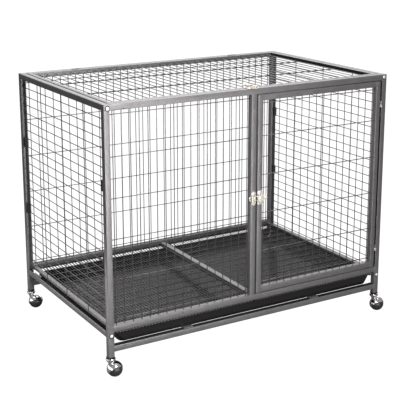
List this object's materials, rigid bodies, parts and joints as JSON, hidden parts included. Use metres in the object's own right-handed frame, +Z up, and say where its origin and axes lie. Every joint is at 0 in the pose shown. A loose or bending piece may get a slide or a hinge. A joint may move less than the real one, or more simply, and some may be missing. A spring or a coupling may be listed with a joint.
{
  "type": "animal cage",
  "caption": "Steel wire dog cage on ball casters with a hinged front door, a hinged lid, slide latches, floor grates and a pull-out tray.",
  "frame": {"origin": "on the floor, under the middle of the box that holds the cage and its casters", "axes": "+X along the front from the wired bay to the door, +Y from front to back, +Z up"},
  "size_m": [1.1292, 0.722, 0.8915],
  "materials": {
    "grey_paint": "hammered grey-silver powder coat, satin",
    "tray_black": "glossy black moulded plastic",
    "socket_black": "matte black moulded plastic",
    "nickel": "pale warm nickel plate, slightly worn",
    "chrome": "bright chrome plate",
    "wheel_rubber": "dark grey hard rubber, smooth",
    "zinc_steel": "zinc-plated steel"
  },
  "bodies": {
    "frame": {"post_front_left": "grey_paint", "post_front_right": "grey_paint", "post_rear_left": "grey_paint", "post_rear_right": "grey_paint", "door_post": "grey_paint", "front_top_rail": "grey_paint", "front_sill": "grey_paint", "front_lower_rail": "grey_paint", "rear_top_rail": "grey_paint", "rear_bottom_rail": "grey_paint", "rear_lower_rail": "grey_paint", "left_top_rail": "grey_paint", "right_top_rail": "grey_paint", "left_bottom_rail": "grey_paint", "right_bottom_rail": "grey_paint", "left_side_grille": "grey_paint", "right_side_grille": "grey_paint", "front_bay_grille": "grey_paint", "rear_grille": "grey_paint", "floor_grate_left": "grey_paint", "floor_grate_right": "grey_paint", "tray_support_left": "grey_paint", "tray_support_right": "grey_paint", "door_stop_latch_side": "grey_paint", "door_stop_hinge_side": "grey_paint", "door_hinge_lower_pin": "grey_paint", "door_hinge_upper_pin": "grey_paint", "lid_hinge_left_pin": "grey_paint", "lid_hinge_right_pin": "grey_paint", "door_latch_keeper": "nickel", "lid_latch_keeper": "nickel", "caster_front_left_socket": "socket_black", "caster_front_right_socket": "socket_black", "caster_rear_left_socket": "socket_black", "caster_rear_right_socket": "socket_black"},
    "tray": {"tray_floor": "tray_black", "tray_walls": "tray_black"},
    "door": {"door_leaf": "grey_paint", "door_hinge_lower_sleeve": "grey_paint", "door_hinge_upper_sleeve": "grey_paint", "door_latch_guide": "nickel"},
    "door_bolt": {"door_latch_bolt": "nickel"},
    "lid": {"lid_leaf": "grey_paint", "lid_hinge_left_sleeve": "grey_paint", "lid_hinge_right_sleeve": "grey_paint", "lid_latch_guide": "nickel"},
    "lid_bolt": {"lid_latch_bolt": "nickel"},
    "caster_front_left_swivel": {"caster_front_left_hood": "chrome", "caster_front_left_axle": "zinc_steel"},
    "caster_front_left_wheel": {"caster_front_left_wheel": "wheel_rubber"},
    "caster_front_right_swivel": {"caster_front_right_hood": "chrome", "caster_front_right_axle": "zinc_steel"},
    "caster_front_right_wheel": {"caster_front_right_wheel": "wheel_rubber"},
    "caster_rear_left_swivel": {"caster_rear_left_hood": "chrome", "caster_rear_left_axle": "zinc_steel"},
    "caster_rear_left_wheel": {"caster_rear_left_wheel": "wheel_rubber"},
    "caster_rear_right_swivel": {"caster_rear_right_hood": "chrome", "caster_rear_right_axle": "zinc_steel"},
    "caster_rear_right_wheel": {"caster_rear_right_wheel": "wheel_rubber"}
  },
  "joints": [
    {"name": "door_swing", "type": "hinge", "parent": "frame", "child": "door", "pos_m": [0.5095, -0.3455, 0.5], "axis": [0, 0, 1], "range_deg": [0, 170]},
    {"name": "door_bolt_slide", "type": "slide", "parent": "door", "child": "door_bolt", "axis": [1, 0, 0], "range_m": [-0.006, 0.016]},
    {"name": "lid_swing", "type": "hinge", "parent": "frame", "child": "lid", "pos_m": [-0.01375, 0.324, 0.88], "axis": [-1, 0, 0], "range_deg": [0, 105]},
    {"name": "lid_bolt_slide", "type": "slide", "parent": "lid", "child": "lid_bolt", "axis": [0, 1, 0], "range_m": [-0.012, 0.016]},
    {"name": "tray_slide", "type": "slide", "parent": "frame", "child": "tray", "axis": [0, -1, 0], "range_m": [0, 0.6]},
    {"name": "caster_front_left_swivel_turn", "type": "hinge", "parent": "frame", "child": "caster_front_left_swivel", "pos_m": [-0.54875, -0.335, 0.074], "axis": [0, 0, 1], "continuous": true},
    {"name": "caster_front_left_wheel_roll", "type": "hinge", "parent": "caster_front_left_swivel", "child": "caster_front_left_wheel", "pos_m": [-0.53316, -0.3314, 0.025], "axis": [0.1723, -0.7464, -0.6428], "continuous": true},
    {"name": "caster_front_right_swivel_turn", "type": "hinge", "parent": "frame", "child": "caster_front_right_swivel", "pos_m": [0.52125, -0.335, 0.074], "axis": [0, 0, 1], "continuous": true},
    {"name": "caster_front_right_wheel_roll", "type": "hinge", "parent": "caster_front_right_swivel", "child": "caster_front_right_wheel", "pos_m": [0.53724, -0.33458, 0.025], "axis": [0.0201, -0.7658, -0.6428], "continuous": true},
    {"name": "caster_rear_left_swivel_turn", "type": "hinge", "parent": "frame", "child": "caster_rear_left_swivel", "pos_m": [-0.54875, 0.335, 0.074], "axis": [0, 0, 1], "continuous": true},
    {"name": "caster_rear_left_wheel_roll", "type": "hinge", "parent": "caster_rear_left_swivel", "child": "caster_rear_left_wheel", "pos_m": [-0.53291, 0.33277, 0.025], "axis": [-0.1066, -0.7586, -0.6428], "continuous": true},
    {"name": "caster_rear_right_swivel_turn", "type": "hinge", "parent": "frame", "child": "caster_rear_right_swivel", "pos_m": [0.52125, 0.335, 0.074], "axis": [0, 0, 1], "continuous": true},
    {"name": "caster_rear_right_wheel_roll", "type": "hinge", "parent": "caster_rear_right_swivel", "child": "caster_rear_right_wheel", "pos_m": [0.53721, 0.33612, 0.025], "axis": [0.0534, -0.7642, -0.6428], "continuous": true}
  ]
}
